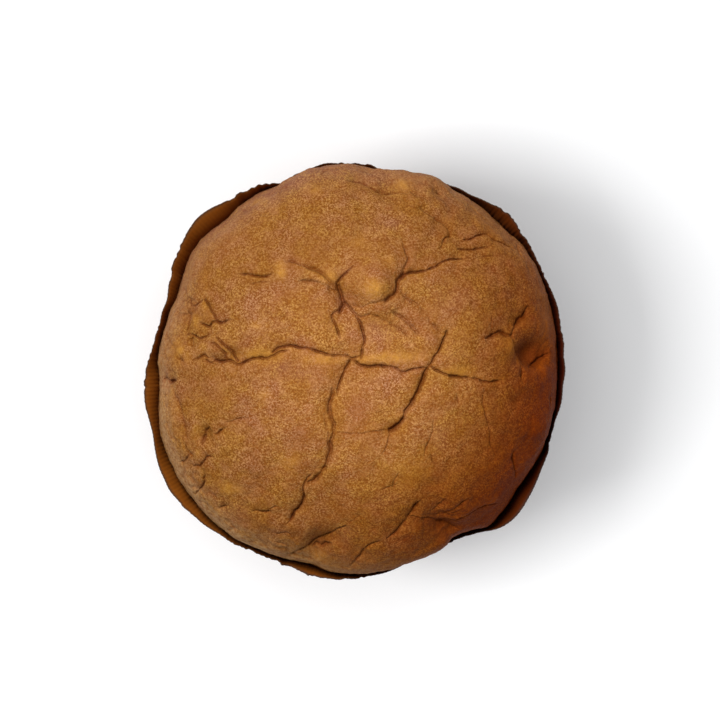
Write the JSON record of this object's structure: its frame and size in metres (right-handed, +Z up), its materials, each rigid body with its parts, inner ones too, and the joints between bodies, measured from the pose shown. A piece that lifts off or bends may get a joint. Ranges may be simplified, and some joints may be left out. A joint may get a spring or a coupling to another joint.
{
  "type": "panettone",
  "caption": "Tall domed sweet bread loaf with a folded, cracked brown crust, standing in its flared brown paper baking case.",
  "frame": {"origin": "centre of the underside of the paper case, on the surface the loaf stands on", "axes": "+Z up through the crown of the loaf; +X to the right and +Y to the top of the reference view from above"},
  "size_m": [0.1779, 0.1764, 0.151],
  "materials": {
    "crust": "matte",
    "baking_paper": "matte"
  },
  "bodies": {
    "root": {"loaf": "crust", "paper_case": "baking_paper"}
  },
  "joints": []
}
